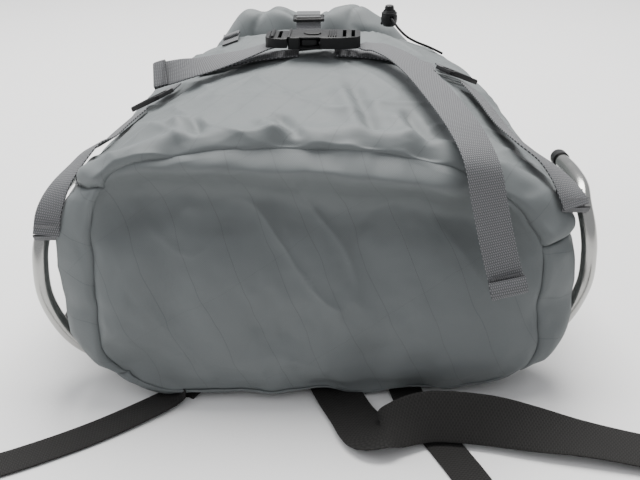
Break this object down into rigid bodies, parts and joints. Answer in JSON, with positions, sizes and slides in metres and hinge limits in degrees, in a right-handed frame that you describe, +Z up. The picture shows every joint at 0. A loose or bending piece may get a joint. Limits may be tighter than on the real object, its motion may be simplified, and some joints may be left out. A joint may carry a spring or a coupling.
{
  "type": "roll-top dry pack",
  "caption": "Roll-top dry pack lying on its back, with compression straps, side-release buckles, a tubular hoop stay and harness webbing.",
  "frame": {"origin": "middle of the back pad's flat face, on the surface that the pack lies on", "axes": "+Z up out of the front panel, +Y along the pack from its bottom end to its roll-top, +X to the right seen from the bottom end"},
  "size_m": [0.6281, 0.6034, 0.2275],
  "materials": {
    "fabric_grey": "laminated pack cloth, fine weave with diagonal yarns",
    "fabric_dark": "spacer mesh",
    "webbing_grey": "woven webbing",
    "webbing_black": "woven webbing",
    "plastic_black": "moulded acetal",
    "aluminium": "polished tube",
    "steel": "satin wire",
    "foam": "closed-cell foam",
    "cord": "elastic cord with woven cover"
  },
  "bodies": {
    "pack": {"front_panel": "fabric_grey", "left_side_panel": "fabric_grey", "right_side_panel": "fabric_grey", "back_panel": "fabric_grey", "bottom_panel": "fabric_grey", "back_pad": "fabric_dark", "shoulder_strap_left": "fabric_dark", "shoulder_strap_right": "fabric_dark", "stay_keeper_left": "fabric_dark", "stay_keeper_right": "fabric_dark", "front_strap_left": "webbing_grey", "front_strap_right": "webbing_grey", "strap_tail_right": "webbing_grey", "hook_webbing": "webbing_grey", "webbing_tab_left": "webbing_grey", "lock_anchor_left": "webbing_grey", "lock_anchor_right": "webbing_grey", "side_strap_left": "webbing_grey", "side_strap_right": "webbing_grey", "shoulder_webbing_left": "webbing_black", "shoulder_webbing_right": "webbing_black", "hip_webbing_left": "webbing_black", "hip_webbing_right": "webbing_black", "haul_loop": "webbing_black", "front_buckle_female": "plastic_black", "hip_buckle_female": "plastic_black", "hip_buckle_male": "plastic_black", "cord_lock_barrel": "plastic_black", "hoop_cap_left": "plastic_black", "hoop_cap_right": "plastic_black", "hoop_stay": "aluminium", "cord_lock_spring": "steel", "back_foam_sheet": "foam", "elastic_cord": "cord"},
    "roll_top": {"roll_collar": "fabric_grey", "roll_bundle": "fabric_grey", "roll_stiffener": "plastic_black", "top_strap": "webbing_grey"},
    "top_hook_body": {"top_hook": "plastic_black"},
    "front_male": {"front_buckle_male": "plastic_black", "strap_tail_left": "webbing_grey"},
    "front_prong_near": {"front_buckle_male_prong_near": "plastic_black"},
    "front_prong_far": {"front_buckle_male_prong_far": "plastic_black"},
    "hip_prong_near": {"hip_buckle_male_prong_near": "plastic_black"},
    "hip_prong_far": {"hip_buckle_male_prong_far": "plastic_black"},
    "cord_plunger": {"cord_lock_plunger": "plastic_black"},
    "side_lock_left": {"ladder_lock_left": "plastic_black"},
    "side_lock_right": {"ladder_lock_right": "plastic_black"},
    "strap_lock_left": {"shoulder_lock_left": "plastic_black"},
    "strap_lock_right": {"shoulder_lock_right": "plastic_black"}
  },
  "joints": [
    {"name": "roll_top_open", "type": "hinge", "parent": "pack", "child": "roll_top", "pos_m": [0, 0.1852, 0.022], "axis": [-1, 0, 0], "range_deg": [0, 55]},
    {"name": "top_hook_lift", "type": "hinge", "parent": "roll_top", "child": "top_hook_body", "pos_m": [-0.006, 0.171, 0.2122], "axis": [-1, 0, 0], "range_deg": [0, 80]},
    {"name": "front_buckle_slide", "type": "slide", "parent": "pack", "child": "front_male", "axis": [-0.9986, 0.0523, 0], "range_m": [0, 0.03]},
    {"name": "front_prong_near_press", "type": "hinge", "parent": "front_male", "child": "front_prong_near", "pos_m": [-0.02341, 0.02316, 0.2215], "axis": [0, 0, 1], "range_deg": [0, 6], "stiffness_Nm_per_rad": 0.4},
    {"name": "front_prong_far_press", "type": "hinge", "parent": "front_male", "child": "front_prong_far", "pos_m": [-0.02252, 0.04014, 0.2215], "axis": [0, 0, -1], "range_deg": [0, 6], "stiffness_Nm_per_rad": 0.4},
    {"name": "hip_prong_near_press", "type": "hinge", "parent": "pack", "child": "hip_prong_near", "pos_m": [0.28389, -0.30417, 0.0075], "axis": [0, 0, 1], "range_deg": [0, 6], "stiffness_Nm_per_rad": 0.4},
    {"name": "hip_prong_far_press", "type": "hinge", "parent": "pack", "child": "hip_prong_far", "pos_m": [0.29071, -0.28315, 0.0075], "axis": [0, 0, -1], "range_deg": [0, 6], "stiffness_Nm_per_rad": 0.4},
    {"name": "cord_lock_press", "type": "slide", "parent": "pack", "child": "cord_plunger", "axis": [0, 0, -1], "range_m": [0, 0.0035], "stiffness_N_per_m": 300, "springref_m": -0.0005, "deforming": ["cord_lock_spring"]},
    {"name": "side_lock_left_tilt", "type": "hinge", "parent": "pack", "child": "side_lock_left", "pos_m": [-0.13513, -0.00495, 0.1822], "axis": [-0.8261, 0.3338, -0.454], "range_deg": [0, 30]},
    {"name": "side_lock_right_tilt", "type": "hinge", "parent": "pack", "child": "side_lock_right", "pos_m": [0.12171, 0.03688, 0.1892], "axis": [-0.8346, -0.3716, 0.4067], "range_deg": [0, 30]},
    {"name": "strap_lock_left_tilt", "type": "hinge", "parent": "pack", "child": "strap_lock_left", "pos_m": [-0.086, -0.111, 0.003], "axis": [-1, 0, 0], "range_deg": [0, 20]},
    {"name": "strap_lock_right_tilt", "type": "hinge", "parent": "pack", "child": "strap_lock_right", "pos_m": [0.086, -0.111, 0.003], "axis": [-1, 0, 0], "range_deg": [0, 20]}
  ]
}
